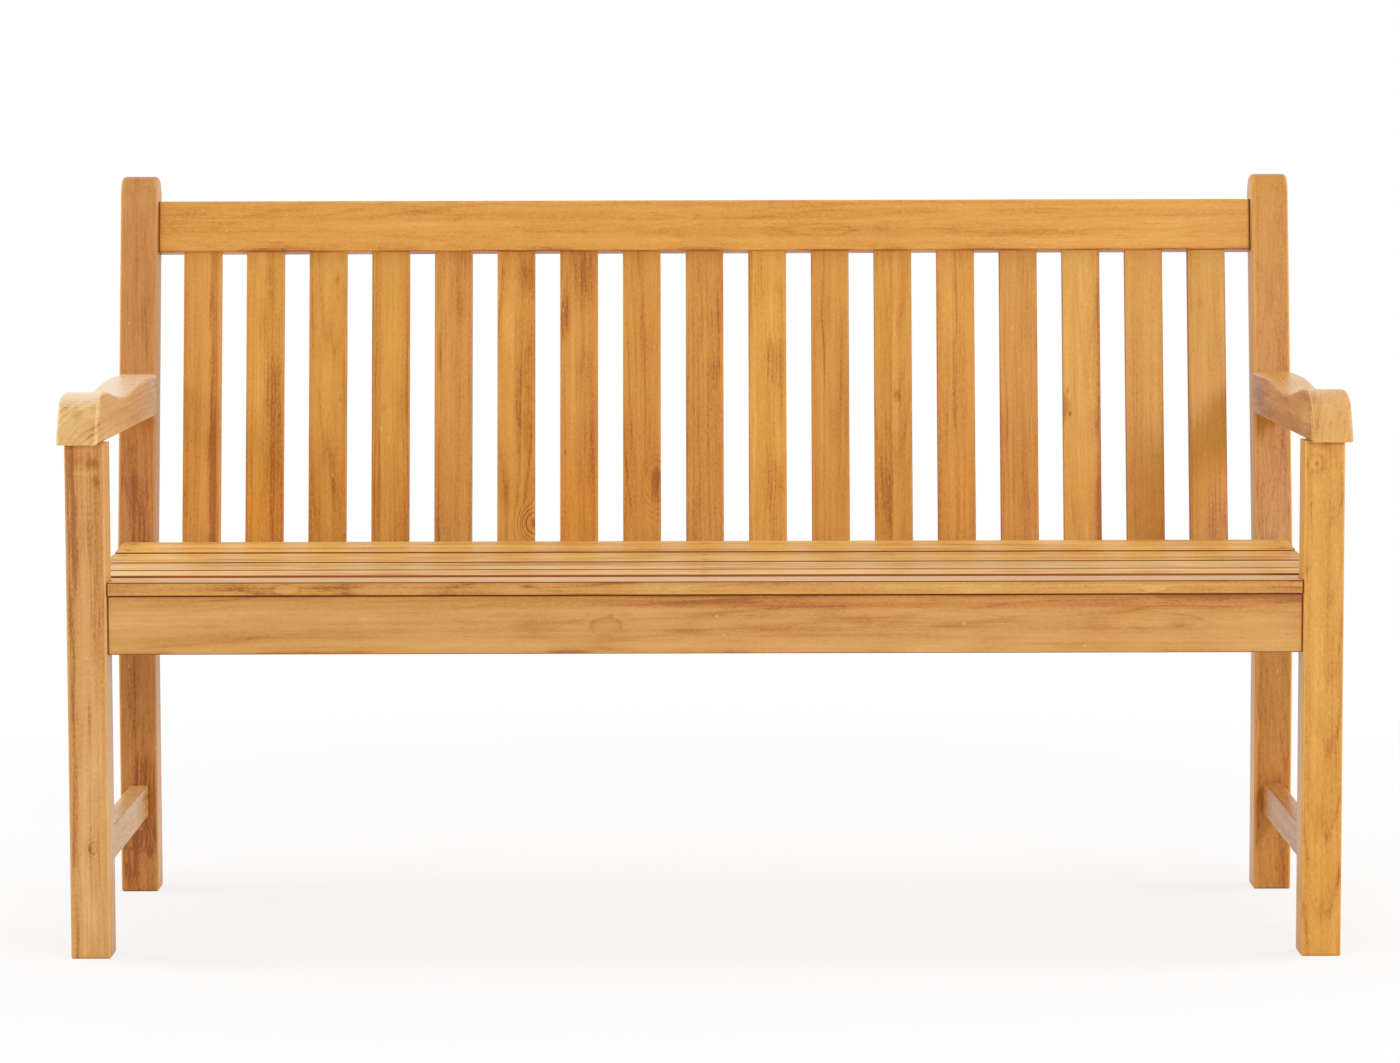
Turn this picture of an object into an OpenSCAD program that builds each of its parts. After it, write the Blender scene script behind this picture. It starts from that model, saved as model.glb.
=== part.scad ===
// Three-seat garden bench in solid teak: two end frames joined by an apron, a
// rear seat rail and a slatted back. Every board is a separate piece with its
// own tenons and mortises. +X runs along the seat, +Y towards the back, and the
// origin is on the floor under the middle of the bench. Inside the modules, Y
// is counted from the front faces of the front legs.

/* [Overall] */
// Width over the outer faces of the arms
bench_w = 1500; // [1350:10:1650]
// Height of the back legs' crown above the floor
bench_h = 905; // [870:5:960]
// Height of the front edge of the seat
seat_h = 442.5; // [425:0.5:450]

/* [Legs] */
// Width of every leg, along X
leg_w = 47; // [44:1:50]
// Depth of a front leg
front_leg_d = 48; // [46:1:54]
// Depth of a back leg, square to its own faces
back_leg_d = 50; // [48:1:56]
// From the front faces of the front legs to those of the back legs
leg_spacing = 480; // [480:5:520]
// Height at which the back legs start to lean
bend_h = 400; // [390:5:410]
// Lean of the back
rake = 10; // [8:0.5:11]

/* [Arms] */
// Thickness of an arm, along X
arm_w = 48; // [46:1:52]
// Height of the arms' flat underside
arm_h = 604; // [590:1:615]
// How far an arm reaches out in front of its leg
arm_overhang = 20; // [16:1:24]
// Height of the scroll above the underside
scroll_rise = 57; // [56:1:66]
// Height of the hollow behind the scroll above the underside
hollow_rise = 42.5; // [40:0.5:46]
// Height of the flat rear part above the underside
rear_rise = 52; // [50:0.5:54]

/* [Back] */
// Number of vertical slats
slat_count = 17; // [11:2:19]
// Width of a back slat
slat_w = 48; // [44:1:52]
// Thickness of a back slat
slat_t = 14; // [12:1:16]
// Width of the top rail
top_rail_w = 65; // [62:1:74]
// Thickness of the top rail
top_rail_t = 30; // [28:1:32]
// Setback of the top rail behind the back legs' front faces
top_rail_setback = 15; // [12:1:16]
// From the legs' crown down to the top rail, along the slope
top_rail_drop = 33; // [30:1:45]

/* [Seat] */
// Width of a seat slat
seat_slat_w = 87; // [85:1:88]
// Thickness of a seat slat
seat_slat_t = 16; // [15:1:18]
// Gap between neighbouring seat slats
seat_gap = 10; // [8:0.5:10]
// Radius of the dished seat, seen from the side
dish_r = 3200; // [2600:50:3600]
// Clear gap around the front legs in the notched slat
notch_gap = 1.5; // [1:0.5:3]
// Height of the front apron
apron_w = 69; // [64:1:72]
// Thickness of the front apron
apron_t = 26; // [24:1:27]
// Setback of the apron behind the legs' front faces
apron_setback = 5; // [3:1:6]
// Thickness of the rear seat rail
rear_rail_t = 30; // [29:1:32]
// Thickness of the side rails and of the centre bearer
bearer_t = 26; // [24:1:28]

/* [Stretchers] */
// Height of a side stretcher's underside above the floor
stretcher_h = 96; // [80:1:140]
// Width of a side stretcher, top to bottom
stretcher_w = 40; // [38:1:46]
// Thickness of a side stretcher
stretcher_t = 24; // [22:1:26]

/* [Fixings] */
// Diameter of the wooden pegs through the tenons
peg_d = 8; // [7:0.5:9]
// Diameter of the frame bolts' shanks
bolt_d = 8; // [6:1:8]
// Diameter of the barrel nuts
nut_d = 12; // [12:0.5:13]
// Diameter of the wooden plugs over the seat screws
plug_d = 10; // [10:0.5:12]

/* [Edges] */
// Radius of the eased long edges of the frame
ease = 3; // [2:0.5:3.5]
// Radius of the eased edges of the slats
slat_ease = 1.5; // [1.5:0.5:2.5]
// Radius of the rounded edges of the arms
arm_ease = 3.5; // [3:0.5:6]

/* [Hidden] */
// General
eps = 0.5; // how far a cutter runs past a face
big = 2000; // a cutter larger than the bench
root = 6; // how far a tenon is drawn back into its own board
arc_fn = 32;

// Legs
leg_overhang = 7; // from a leg's outer face to the front of its arm's
leg_out = bench_w / 2 - leg_overhang;
leg_in = leg_out - leg_w;
leg_mid = leg_out - leg_w / 2;
foot_ease = 2;
crown_r = back_leg_d / 2;
crown_ease = 5;
crown_steps = 20; // flats round the half-round crown
crown_along = (bench_h - bend_h - crown_r * (1 - sin(rake))) / cos(rake);
back_y = leg_spacing + crown_along * sin(rake) + crown_r * (1 + cos(rake));
bench_d = arm_overhang + back_y;

// Arms: the outline's landmarks, counted from the leg's front face
scroll_y = 48;
hollow_y = 235;
flat_y = 420;
arm_steps = 16; // points along each curved stretch
round_steps = 4; // rings across a rounded edge

// Back
slat_gap = (2 * leg_in - slat_count * slat_w) / (slat_count + 1);
slat_y = top_rail_setback + top_rail_t / 2;
top_rail_top = crown_along + crown_r - top_rail_drop;
top_rail_low = top_rail_top - top_rail_w;
slat_tenon = [slat_w - 12, 8];
slat_tenon_len = 16;

// Seat
seat_slat_count = 5;
dish_y = 240; // where the dish is lowest
dish_sink = 4.5; // how far it lies below the front edge there
front_tilt = -2; // the front slat falls towards the back
seat_corner = 9;
seat_inset = 8; // from the legs' outer faces to the ends of the slats
seat_len = 2 * (leg_out - seat_inset);
apron_top = seat_h - seat_slat_t;
apron_z = apron_top - apron_w;
rear_rail_y = leg_spacing + back_leg_d - rear_rail_t;
rear_rail_top = seat_h - 5;
bearer_z = apron_z + 22;

// Tenons
stub_len = 12;
stub_t = 14;
tenon_t = 10;
tenon_len = 22;
shoulder = 8;
leg_tenon = [22, 24, 30];
arm_tenon = [16, 24, 30];

// Bolts, washers and barrel nuts
counterbore_d = 18;
counterbore_deep = 12;
washer_d = 16;
washer_t = 1.5;
head_d = 13;
head_h = 8;
socket_d = 6;
socket_deep = 4;
nut_len = 18;
nut_x = leg_in - 35;
bolt_tip = nut_x - nut_d;

// Pegs, screws and plugs
peg_len = 38;
screw_d = 4.5;
screw_head_d = 9;
screw_head_h = 3;
screw_len = 31;
plug_h = 5;
screw_inset = 18;
apron_screw_x = 350;

// Wood tones, board by board
frame_tone = "#c98d52";
leg_tone = "#d8a05a";
rail_tone = "#d99c50";
apron_tone = "#cf9857";
arm_tone = "#dda863";
dark_tone = "#a8703d";
steel_tone = "#a9abad";
slat_tones = ["#cf9049", "#cb8b47", "#d6974c", "#c98746", "#db9f54", "#d2934a"];
seat_tones = ["#ce9655", "#d8a566", "#dbab72", "#dda866", "#e0aa65"];

back_slats = [for (i = [1 : slat_count]) str("back_slat_", i < 10 ? "0" : "", i)];
seat_slats = [
    "seat_slat_front", "seat_slat_second", "seat_slat_middle", "seat_slat_fourth", "seat_slat_rear"
];

// ---- Placing ----------------------------------------------------------------

// From the drawing frame, with Y from the front legs, to the bench's own frame.
module placed() translate([0, arm_overhang - bench_d / 2, 0]) children();

// The leaning part of the back: Z runs up the slope, Y square to it.
module raked() translate([0, leg_spacing, bend_h]) rotate([-rake, 0, 0]) children();

module left() mirror([1, 0, 0]) children();

module both_sides() {
    children();
    left() children();
}

// ---- Outlines and blanks ----------------------------------------------------

// A rectangle with rounded corners.
module eased_rect(w, h, r) {
    translate([r, 0]) square([w - 2 * r, h]);
    translate([0, r]) square([w, h - 2 * r]);
    for (x = [r, w - r], y = [r, h - r])
        translate([x, y]) circle(r, $fn = arc_fn);
}

// Draws a side elevation, Y by Z, and gives it a thickness centred on X = 0.
module along_x(t) rotate([90, 0, 90]) linear_extrude(t, center = true) children();

// Draws a front elevation, X by Z, and runs it from Y = 0 backwards.
module along_y(len) translate([0, len, 0]) rotate([90, 0, 0]) linear_extrude(len) children();

// A rectangle that stands on a foot with chamfered corners.
module foot_outline(w, h) polygon([
    [foot_ease, 0], [w - foot_ease, 0], [w, foot_ease], [w, h], [0, h], [0, foot_ease]
]);

// An upright square leg with eased edges and a chamfered foot.
module upright(w, d, h) intersection() {
    linear_extrude(h) eased_rect(w, d, ease);
    along_y(d) foot_outline(w, h);
    translate([w / 2, 0, 0]) along_x(w) foot_outline(d, h);
}

// A board that lies along X, between X = -len / 2 and len / 2.
module cross_rail(len, t, w, r) along_x(len) eased_rect(t, w, r);

// A cylinder along X.
module x_rod(from, to, d) translate([from, 0, 0]) rotate([0, 90, 0])
    cylinder(h = to - from, d = d, $fn = arc_fn);

// A cylinder along Y.
module y_rod(from, to, d) translate([0, from, 0]) rotate([-90, 0, 0])
    cylinder(h = to - from, d = d, $fn = arc_fn);

// ---- Lofts --------------------------------------------------------------------

function unit(v) = v / norm(v);

function inward(a, b) = let (e = unit(b - a)) [e.y, -e.x];

// A clockwise outline moved inwards, point i by ds[i] along its mitre.
function inset(pts, ds) = let (n = len(pts)) [
    for (i = [0 : n - 1])
        let (
            before = inward(pts[(i + n - 1) % n], pts[i]),
            after = inward(pts[i], pts[(i + 1) % n])
        )
        pts[i] + ds[i] * (before + after) / (1 + before * after)
];

// The rings across a board with rounded edges, from side face to side face.
// Each is [share of the width, steps in X, steps off the outline], in radii.
quarter = [for (k = [0 : round_steps]) let (a = 90 * k / round_steps) [1 - cos(a), 1 - sin(a)]];
ring_steps = concat(
    [for (q = quarter) [0, q[0], q[1]]],
    [for (k = [round_steps : -1 : 0]) [1, -quarter[k][0], quarter[k][1]]]
);

// A closed skin through rings of points, flat at both ends. Each end is a fan
// from point `hub`, which has to see the whole outline.
module loft(rings, hub) {
    n = len(rings[0]);
    last = len(rings) - 1;
    sides = [
        for (k = [0 : last - 1], i = [0 : n - 1])
            let (j = (i + 1) % n) [k * n + i, k * n + j, (k + 1) * n + j, (k + 1) * n + i]
    ];
    fan = [for (i = [1 : n - 2]) [hub, (hub + i) % n, (hub + i + 1) % n]];
    first_end = [for (t = fan) [t[2], t[1], t[0]]];
    last_end = [for (t = fan) [for (i = t) last * n + i]];
    polyhedron([for (r = rings, p = r) p], concat(first_end, last_end, sides));
}

// ---- Seat geometry ----------------------------------------------------------

function dish_z(y) = seat_h - dish_sink + dish_r - sqrt(dish_r * dish_r - pow(y - dish_y, 2));

// The front slat leans back on the apron, the others lie on chords of the dish.
function slat_front(i) = i * (seat_slat_w + seat_gap);
function slat_top(i) = i == 0 ? seat_h : dish_z(slat_front(i));
function slat_tilt(i) = i == 0 ? front_tilt
    : atan((dish_z(slat_front(i) + seat_slat_w) - dish_z(slat_front(i))) / seat_slat_w);

// A point of slat i's underside, s behind its front edge.
function slat_under(i, s) = let (a = slat_tilt(i)) [
    slat_front(i) + s * cos(a) + seat_slat_t * sin(a),
    slat_top(i) + s * sin(a) - seat_slat_t * cos(a)
];

// The front slat's underside above y.
function front_under(y) = slat_under(0, 0).y + (y - slat_under(0, 0).x) * tan(front_tilt);

// Side view of a board that carries the slats, each on a flat of its own.
function bearer_outline(from, to, z) = let (
    seats = [for (i = [1 : seat_slat_count - 1], s = [0, seat_slat_w]) slat_under(i, s)],
    last = seats[len(seats) - 1]
) concat(
    [[to, z], [from, z], [from, front_under(from)], slat_under(0, seat_slat_w)],
    seats,
    [[to, last.y]]
);

// Slat i's own frame: its front edge at Y = 0 and its top face at Z = 0.
module on_slat(i) translate([0, slat_front(i), slat_top(i)]) rotate([slat_tilt(i), 0, 0]) children();

// Where slat i is screwed down: on the side rails, the bearer and the apron.
function slat_screws(i) = i == 0 ? concat(
    [for (x = [-leg_mid, 0, leg_mid]) [x, seat_slat_w - screw_inset]],
    [for (x = [-apron_screw_x, apron_screw_x]) [x, apron_setback + apron_t / 2]]
) : [for (x = [-leg_mid, 0, leg_mid], y = [screw_inset, seat_slat_w - screw_inset]) [x, y]];

module at_slat_screws(i) on_slat(i)
    for (p = slat_screws(i)) translate([p.x, p.y, 0]) children();

module at_seat_screws() for (i = [0 : seat_slat_count - 1]) at_slat_screws(i) children();

// ---- Fixings ----------------------------------------------------------------

module at_apron_bolt() translate([0, apron_setback + apron_t / 2, apron_z + apron_w / 2])
    children();

module at_rear_bolt() translate([0, rear_rail_y + rear_rail_t / 2, (apron_z + rear_rail_top) / 2])
    children();

module at_top_bolt() raked() translate([0, slat_y, top_rail_low + top_rail_w / 2]) children();

module at_bolts() both_sides() {
    at_apron_bolt() children();
    at_rear_bolt() children();
    at_top_bolt() children();
}

module bolt() {
    under_head = leg_out - counterbore_deep + washer_t;
    x_rod(bolt_tip, under_head, bolt_d);
    difference() {
        x_rod(under_head - eps, under_head + head_h, head_d);
        x_rod(under_head - 2 * eps, under_head, head_d + eps);
        translate([under_head + head_h - socket_deep, 0, 0]) rotate([0, 90, 0])
            cylinder(h = socket_deep + eps, d = socket_d / cos(30), $fn = 6);
    }
}

module washer() difference() {
    x_rod(leg_out - counterbore_deep, leg_out - counterbore_deep + washer_t, washer_d);
    x_rod(leg_out - counterbore_deep - eps, leg_out, bolt_d);
}

module barrel_nut() difference() {
    translate([nut_x, 0, 0]) y_rod(-nut_len / 2, nut_len / 2, nut_d);
    x_rod(nut_x - nut_d, nut_x + nut_d, bolt_d);
}

// The bolt's hole in a leg and in the rail behind it, and the nut's hole.
module bolt_bore() {
    x_rod(bolt_tip, leg_out, bolt_d);
    x_rod(leg_out - counterbore_deep, leg_out + eps, counterbore_d);
}

module nut_bore(t) translate([nut_x, 0, 0]) y_rod(-nut_len / 2, t / 2 + eps, nut_d);

module peg(out) x_rod(out - peg_len, out, peg_d);

// The tenons of an end frame, each with its peg: [Y, Z] of the pegs' axes.
leg_pegs = [
    [front_leg_d - tenon_len / 2, apron_z + apron_w / 2],
    [leg_spacing + tenon_len / 2, apron_z + apron_w / 2],
    [front_leg_d - tenon_len / 2, stretcher_h + stretcher_w / 2],
    [leg_spacing + tenon_len / 2, stretcher_h + stretcher_w / 2],
    [leg_spacing + (arm_h - bend_h) * tan(rake) + arm_tenon.y / 2, arm_h + shoulder + arm_tenon.z / 2]
];
arm_peg = [front_leg_d / 2, arm_h + leg_tenon.z / 2];

module side_pegs() {
    for (p = leg_pegs) translate([0, p[0], p[1]]) peg(leg_out);
    translate([0, arm_peg[0], arm_peg[1]]) peg(leg_out + leg_overhang - 1);
}

module screw() {
    translate([0, 0, -plug_h - screw_len]) cylinder(h = screw_len, d = screw_d, $fn = arc_fn);
    translate([0, 0, -plug_h - screw_head_h])
        cylinder(h = screw_head_h, d1 = screw_d, d2 = screw_head_d, $fn = arc_fn);
}

module plug() translate([0, 0, -plug_h]) cylinder(h = plug_h, d = plug_d, $fn = arc_fn);

module screw_bore() {
    screw();
    translate([0, 0, -plug_h]) cylinder(h = plug_h + eps, d = plug_d, $fn = arc_fn);
}

// ---- Tenons of the right-hand side: drawn on one board, cut from its mate ----

module front_leg_tenon()
    translate([leg_mid - leg_tenon.x / 2, (front_leg_d - leg_tenon.y) / 2, arm_h - root])
        cube([leg_tenon.x, leg_tenon.y, leg_tenon.z + root]);

module arm_rear_tenon()
    translate([
        leg_mid - arm_tenon.x / 2,
        leg_spacing + (arm_h - bend_h) * tan(rake) - root,
        arm_h + shoulder
    ]) cube([arm_tenon.x, arm_tenon.y + root, arm_tenon.z]);

module apron_stub()
    translate([leg_in - root, apron_setback + (apron_t - stub_t) / 2, apron_z + shoulder])
        cube([stub_len + root, stub_t, apron_w - 2 * shoulder]);

module rear_rail_stub()
    translate([leg_in - root, rear_rail_y + (rear_rail_t - stub_t) / 2, apron_z + shoulder])
        cube([stub_len + root, stub_t, rear_rail_top - apron_z - 2 * shoulder]);

module top_rail_stub()
    raked() translate([leg_in - root, slat_y - stub_t / 2, top_rail_low + shoulder])
        cube([stub_len + root, stub_t, top_rail_w - 2 * shoulder]);

// A long tenon through both ends of a board that joins the front and back legs.
module frame_tenon(z, w)
    translate([leg_mid - tenon_t / 2, front_leg_d - tenon_len, z + shoulder])
        cube([tenon_t, leg_spacing - front_leg_d + 2 * tenon_len, w - 2 * shoulder]);

module side_rail_tenon() frame_tenon(apron_z, apron_w);

module stretcher_tenon() frame_tenon(stretcher_h, stretcher_w);

module bearer_tenon() {
    depth = apron_setback + apron_t - stub_len;
    translate([-tenon_t / 2, depth, bearer_z + shoulder])
        cube([tenon_t, rear_rail_y + stub_len - depth, apron_top - bearer_z - 2 * shoulder]);
}

// ---- Legs -------------------------------------------------------------------

module front_leg() color(leg_tone) placed() difference() {
    union() {
        translate([leg_in, 0, 0]) upright(leg_w, front_leg_d, arm_h);
        front_leg_tenon();
    }
    apron_stub();
    side_rail_tenon();
    stretcher_tenon();
    at_apron_bolt() bolt_bore();
    side_pegs();
}

// A point of the leaning part, v behind its front face and u up the slope.
function on_slope(v, u) = [
    leg_spacing + v * cos(rake) + u * sin(rake),
    bend_h - v * sin(rake) + u * cos(rake)
];

crown_turn = [for (k = [0 : crown_steps]) 180 - 180 * k / crown_steps];

// Side view of a back leg, clockwise from its foot: up the front, past the
// bend, over the half-round crown and down the back.
back_leg_outline = concat(
    [[leg_spacing + foot_ease, 0], [leg_spacing, foot_ease], [leg_spacing, bend_h]],
    [for (a = crown_turn) on_slope(crown_r * (1 + cos(a)), crown_along + crown_r * sin(a))],
    [
        [leg_spacing + back_leg_d, bend_h - back_leg_d * tan(rake / 2)],
        [leg_spacing + back_leg_d, foot_ease],
        [leg_spacing + back_leg_d - foot_ease, 0]
    ]
);

// The radius of the eased edge at each point: it grows over the crown.
back_leg_edges = concat(
    [ease, ease, ease],
    [for (a = crown_turn) ease + (crown_ease - ease) * sin(a)],
    [ease, ease, ease]
);

// The fan starts from the inside of the bend, the third point from the end.
module back_leg_blank() loft([
    for (s = ring_steps)
        let (pts = inset(back_leg_outline, s[2] * back_leg_edges))
        [for (i = [0 : len(pts) - 1])
            [leg_in + s[0] * leg_w + s[1] * back_leg_edges[i], pts[i].x, pts[i].y]]
], len(back_leg_outline) - 3);

module back_leg() color(frame_tone) placed() difference() {
    back_leg_blank();
    arm_rear_tenon();
    rear_rail_stub();
    top_rail_stub();
    side_rail_tenon();
    stretcher_tenon();
    at_rear_bolt() bolt_bore();
    at_top_bolt() bolt_bore();
    side_pegs();
}

// ---- Arms -------------------------------------------------------------------

function bezier(p, t) =
    pow(1 - t, 3) * p[0] + 3 * t * pow(1 - t, 2) * p[1] + 3 * t * t * (1 - t) * p[2] + pow(t, 3) * p[3];

function stretch(p) = [for (k = [0 : arm_steps - 1]) bezier(p, k / arm_steps)];

// Side view of an arm, clockwise from its lower front corner: the scroll, the
// hollow behind it, and the flat that runs on to the back leg.
arm_outline = concat(
    stretch([
        [-arm_overhang, 0], [14 - arm_overhang, scroll_rise / 2], [4, scroll_rise], [scroll_y, scroll_rise]
    ]),
    stretch([
        [scroll_y, scroll_rise], [scroll_y + 60, scroll_rise],
        [hollow_y - 85, hollow_rise], [hollow_y, hollow_rise]
    ]),
    stretch([
        [hollow_y, hollow_rise], [hollow_y + 65, hollow_rise], [flat_y - 80, rear_rise], [flat_y, rear_rise]
    ]),
    [[flat_y, rear_rise], [leg_spacing, rear_rise], [leg_spacing, 0]]
);

// Where the leaning front of a back leg stands, z above the arms' underside.
function leg_front(z) = leg_spacing + (arm_h + z - bend_h) * tan(rake);

// The outline moved inwards by d and run on to the back leg, where its end stays
// square and full, with one more point on the underside below the hollow.
function arm_ring(d) = let (pts = inset(arm_outline, [for (p = arm_outline) d])) concat(
    [for (i = [0 : len(pts) - 3]) pts[i]],
    [for (z = [rear_rise - d, d]) [leg_front(z), z]],
    [[hollow_y, d]]
);

// The inner face stands on the leg's at the back and swings out to the front.
arm_swing = (leg_overhang - (arm_w - leg_w)) / (leg_spacing + arm_overhang);
function arm_inner(y) = leg_in + arm_swing * (leg_spacing - y);

module arm_blank() loft([
    for (s = ring_steps)
        [for (p = arm_ring(s[2] * arm_ease))
            [arm_inner(p.x) + s[0] * arm_w + s[1] * arm_ease, p.x, arm_h + p.y]]
], len(arm_outline));

module arm() color(arm_tone) placed() difference() {
    union() {
        arm_blank();
        arm_rear_tenon();
    }
    front_leg_tenon();
    side_pegs();
}

// ---- Rails, bearer and stretchers --------------------------------------------

// The apron's top is planed to the slope of the front slat.
module front_apron() color(apron_tone) placed() difference() {
    union() {
        translate([0, apron_setback, apron_z]) cross_rail(2 * leg_in, apron_t, apron_w, slat_ease);
        both_sides() apron_stub();
    }
    on_slat(0) translate([-big / 2, -big / 2, -seat_slat_t]) cube(big);
    both_sides() at_apron_bolt() {
        bolt_bore();
        nut_bore(apron_t);
    }
    bearer_tenon();
    at_slat_screws(0) screw_bore();
}

module rear_seat_rail() color(frame_tone) placed() difference() {
    union() {
        translate([0, rear_rail_y, apron_z])
            cross_rail(2 * leg_in, rear_rail_t, rear_rail_top - apron_z, slat_ease);
        both_sides() rear_rail_stub();
    }
    both_sides() at_rear_bolt() {
        bolt_bore();
        nut_bore(rear_rail_t);
    }
    bearer_tenon();
    for (i = [0 : slat_count - 1]) back_slat_tenon(i);
}

module top_rail() color(rail_tone) placed() difference() {
    union() {
        raked() translate([0, top_rail_setback, top_rail_low])
            cross_rail(2 * leg_in, top_rail_t, top_rail_w, ease);
        both_sides() top_rail_stub();
    }
    both_sides() at_top_bolt() {
        bolt_bore();
        nut_bore(top_rail_t);
    }
    for (i = [0 : slat_count - 1]) back_slat_tenon(i);
}

module side_rail() color(frame_tone) placed() difference() {
    union() {
        translate([leg_mid, 0, 0]) along_x(bearer_t)
            polygon(bearer_outline(front_leg_d, leg_spacing, apron_z));
        side_rail_tenon();
    }
    side_pegs();
    at_seat_screws() screw_bore();
}

module centre_bearer() color(frame_tone) placed() difference() {
    union() {
        along_x(bearer_t) polygon(bearer_outline(apron_setback + apron_t, rear_rail_y, bearer_z));
        bearer_tenon();
    }
    at_seat_screws() screw_bore();
}

module stretcher() color(frame_tone) placed() difference() {
    union() {
        translate([leg_mid - stretcher_t / 2, front_leg_d, stretcher_h])
            along_y(leg_spacing - front_leg_d) eased_rect(stretcher_t, stretcher_w, ease);
        stretcher_tenon();
    }
    side_pegs();
}

// ---- Slats ------------------------------------------------------------------

function back_slat_x(i) = (i - (slat_count - 1) / 2) * (slat_w + slat_gap);

// A stick along the slope, cut level at its foot and square at its top.
module back_stick(i, w, t, r, foot, top) difference() {
    raked() translate([back_slat_x(i) - w / 2, slat_y - t / 2, -bend_h / 4])
        linear_extrude(top + bend_h / 4) eased_rect(w, t, r);
    translate([-big / 2, 0, foot - big]) cube(big);
}

module back_slat_tenon(i) back_stick(
    i, slat_tenon.x, slat_tenon.y, 1, rear_rail_top - slat_tenon_len, top_rail_low + slat_tenon_len
);

module back_slat(i) color(slat_tones[i % len(slat_tones)]) placed() {
    back_stick(i, slat_w, slat_t, slat_ease, rear_rail_top, top_rail_low);
    back_slat_tenon(i);
}

// A flat board with every edge eased: its plan, front view and end view agree.
module seat_board() intersection() {
    translate([-seat_len / 2, 0, -seat_slat_t])
        linear_extrude(seat_slat_t) eased_rect(seat_len, seat_slat_w, seat_corner);
    translate([-seat_len / 2, 0, -seat_slat_t])
        along_y(seat_slat_w) eased_rect(seat_len, seat_slat_t, slat_ease);
    translate([0, 0, -seat_slat_t]) along_x(seat_len) eased_rect(seat_slat_w, seat_slat_t, slat_ease);
}

// Room for a front leg in the slat that is notched round both.
module leg_notch() translate([leg_in - notch_gap, -seat_slat_t, -seat_slat_t - eps])
    cube([2 * leg_w, seat_slat_t + front_leg_d + notch_gap, seat_slat_t + 2 * eps]);

module seat_slat(i) color(seat_tones[i]) placed() difference() {
    on_slat(i) difference() {
        seat_board();
        if (i == 0) both_sides() leg_notch();
    }
    at_slat_screws(i) screw_bore();
}

// ---- Groups of fixings --------------------------------------------------------

module frame_bolts() color(steel_tone) placed() at_bolts() bolt();

module bolt_washers() color(steel_tone) placed() at_bolts() washer();

module barrel_nuts() color(steel_tone) placed() at_bolts() barrel_nut();

module joint_pegs() color(dark_tone) placed() both_sides() side_pegs();

module seat_screws() color(steel_tone) placed() at_seat_screws() screw();

module seat_plugs() color(dark_tone) placed() at_seat_screws() plug();

left() front_leg();  // front_leg_left
front_leg();  // front_leg_right
left() back_leg();  // back_leg_left
back_leg();  // back_leg_right
left() arm();  // arm_left
arm();  // arm_right
front_apron();
rear_seat_rail();
left() side_rail();  // side_rail_left
side_rail();  // side_rail_right
centre_bearer();
left() stretcher();  // stretcher_left
stretcher();  // stretcher_right
top_rail();
for (i = [0 : slat_count - 1]) back_slat(i);
for (i = [0 : seat_slat_count - 1]) seat_slat(i);
frame_bolts();
bolt_washers();
barrel_nuts();
joint_pegs();
seat_screws();
seat_plugs();
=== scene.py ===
"""A three-seat teak garden bench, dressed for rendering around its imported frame."""

import logging
import math
from collections.abc import Iterable
from dataclasses import dataclass, field, replace
from enum import Enum

import bpy
from mathutils import Matrix, Vector


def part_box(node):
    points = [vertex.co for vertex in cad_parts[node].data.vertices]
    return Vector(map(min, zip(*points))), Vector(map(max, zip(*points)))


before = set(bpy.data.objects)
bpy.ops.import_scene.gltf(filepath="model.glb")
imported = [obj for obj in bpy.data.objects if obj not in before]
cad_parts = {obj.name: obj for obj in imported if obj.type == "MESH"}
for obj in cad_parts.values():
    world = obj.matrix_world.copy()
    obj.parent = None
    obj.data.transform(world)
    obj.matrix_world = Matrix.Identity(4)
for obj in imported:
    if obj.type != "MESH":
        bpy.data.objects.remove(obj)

LOG = logging.getLogger("bench")
MM = 0.001
RAKE = math.radians(10)  # lean of the back

Socket = bpy.types.NodeSocket
Colour = tuple[float, float, float, float]
Point = tuple[float, float, float]
Stop = tuple[float, float | Colour]  # a place on a ramp, and its grey or its colour

WHITE: Colour = (1.0, 1.0, 1.0, 1.0)


# ---- Nodes, colours and materials ---------------------------------------------


def linear(code: str) -> Colour:
    """Turns an sRGB colour into Blender's linear one, by the standard's own curve.

    Args:
        code: the colour as "#rrggbb".

    Returns:
        Linear red, green and blue, and an alpha of 1.
    """
    shares = [int(code[i : i + 2], 16) / 255 for i in (1, 3, 5)]
    return tuple(
        s / 12.92 if s <= 0.04045 else ((s + 0.055) / 1.055) ** 2.4 for s in shares
    ) + (1.0,)


def add_node(
    tree: bpy.types.NodeTree,
    kind: str,
    inputs: dict | None = None,
    out: int | str = 0,
    stops: tuple[Stop, ...] = (),
    **settings: object,
) -> Socket | None:
    """Adds a node with its settings and links.

    Args:
        tree: the material's or the world's nodes.
        kind: the node's type name.
        inputs: a value or another node's output for each named or numbered input.
        out: the output to hand back, by name or number.
        stops: a colour ramp's stops.
        settings: attributes of the node.

    Returns:
        The chosen output, or nothing from a node that has none.
    """
    node = tree.nodes.new(kind)
    for name, value in settings.items():
        setattr(node, name, value)
    if stops:
        elements = node.color_ramp.elements
        while len(elements) < len(stops):
            elements.new(1.0)
        for element, (position, value) in zip(elements, stops):
            element.position = position
            grey = isinstance(value, (int, float))
            element.color = (value, value, value, 1) if grey else value
    for name, value in (inputs or {}).items():
        if isinstance(value, Socket):
            tree.links.new(value, node.inputs[name])
        else:
            node.inputs[name].default_value = value
    return node.outputs[out] if len(node.outputs) else None


def bare_material(name: str) -> bpy.types.Material:
    """Makes a material that has no nodes yet.

    Args:
        name: the material's name.

    Returns:
        The material.
    """
    finish = bpy.data.materials.new(name)
    finish.use_nodes = True
    finish.node_tree.nodes.clear()
    return finish


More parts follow.
